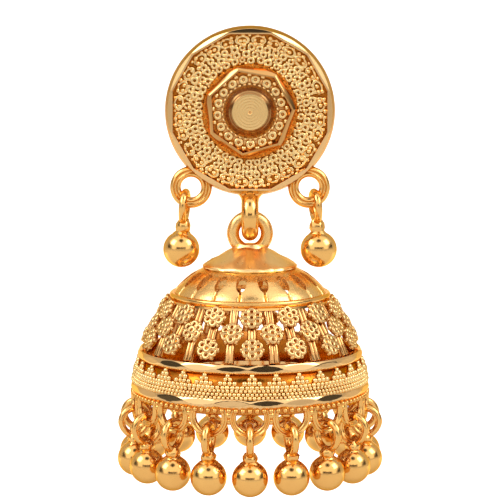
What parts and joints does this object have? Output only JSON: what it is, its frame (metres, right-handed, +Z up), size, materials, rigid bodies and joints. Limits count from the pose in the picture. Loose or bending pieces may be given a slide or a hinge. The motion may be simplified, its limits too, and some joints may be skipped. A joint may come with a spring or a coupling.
{
  "type": "jhumka earring",
  "caption": "Jhumka earring: round granulated stud on an ear post, small side drops, and a hollow pierced bell that swings from a bail and carries a fringe of bead drops.",
  "frame": {"origin": "on the ear post's axis, in the stud's flat back, where the front of the ear lobe sits", "axes": "+Z up, -Y the earring's front, +Y along the post into the lobe, X across the stud; the bell hangs along -Z"},
  "size_m": [0.0244, 0.0247, 0.0412],
  "materials": {
    "granulated_gold": "gold-plated, cast with granulation, satin",
    "polished_gold": "gold-plated, bright polish"
  },
  "bodies": {
    "stud": {"stud": "granulated_gold", "side_drop_left": "polished_gold", "side_drop_right": "polished_gold"},
    "bell": {"bell": "granulated_gold", "rim_drop_01": "polished_gold", "rim_drop_02": "polished_gold", "rim_drop_03": "polished_gold", "rim_drop_04": "polished_gold", "rim_drop_05": "polished_gold", "rim_drop_06": "polished_gold", "rim_drop_07": "polished_gold", "rim_drop_08": "polished_gold", "rim_drop_09": "polished_gold", "rim_drop_10": "polished_gold", "rim_drop_11": "polished_gold", "rim_drop_12": "polished_gold", "rim_drop_13": "polished_gold", "rim_drop_14": "polished_gold", "rim_drop_15": "polished_gold", "rim_drop_16": "polished_gold", "rim_drop_17": "polished_gold", "rim_drop_18": "polished_gold"}
  },
  "joints": [
    {"name": "bell_swing", "type": "hinge", "parent": "stud", "child": "bell", "pos_m": [0, -0.00065, -0.00962], "axis": [1, 0, 0], "range_deg": [-90, 80]}
  ]
}
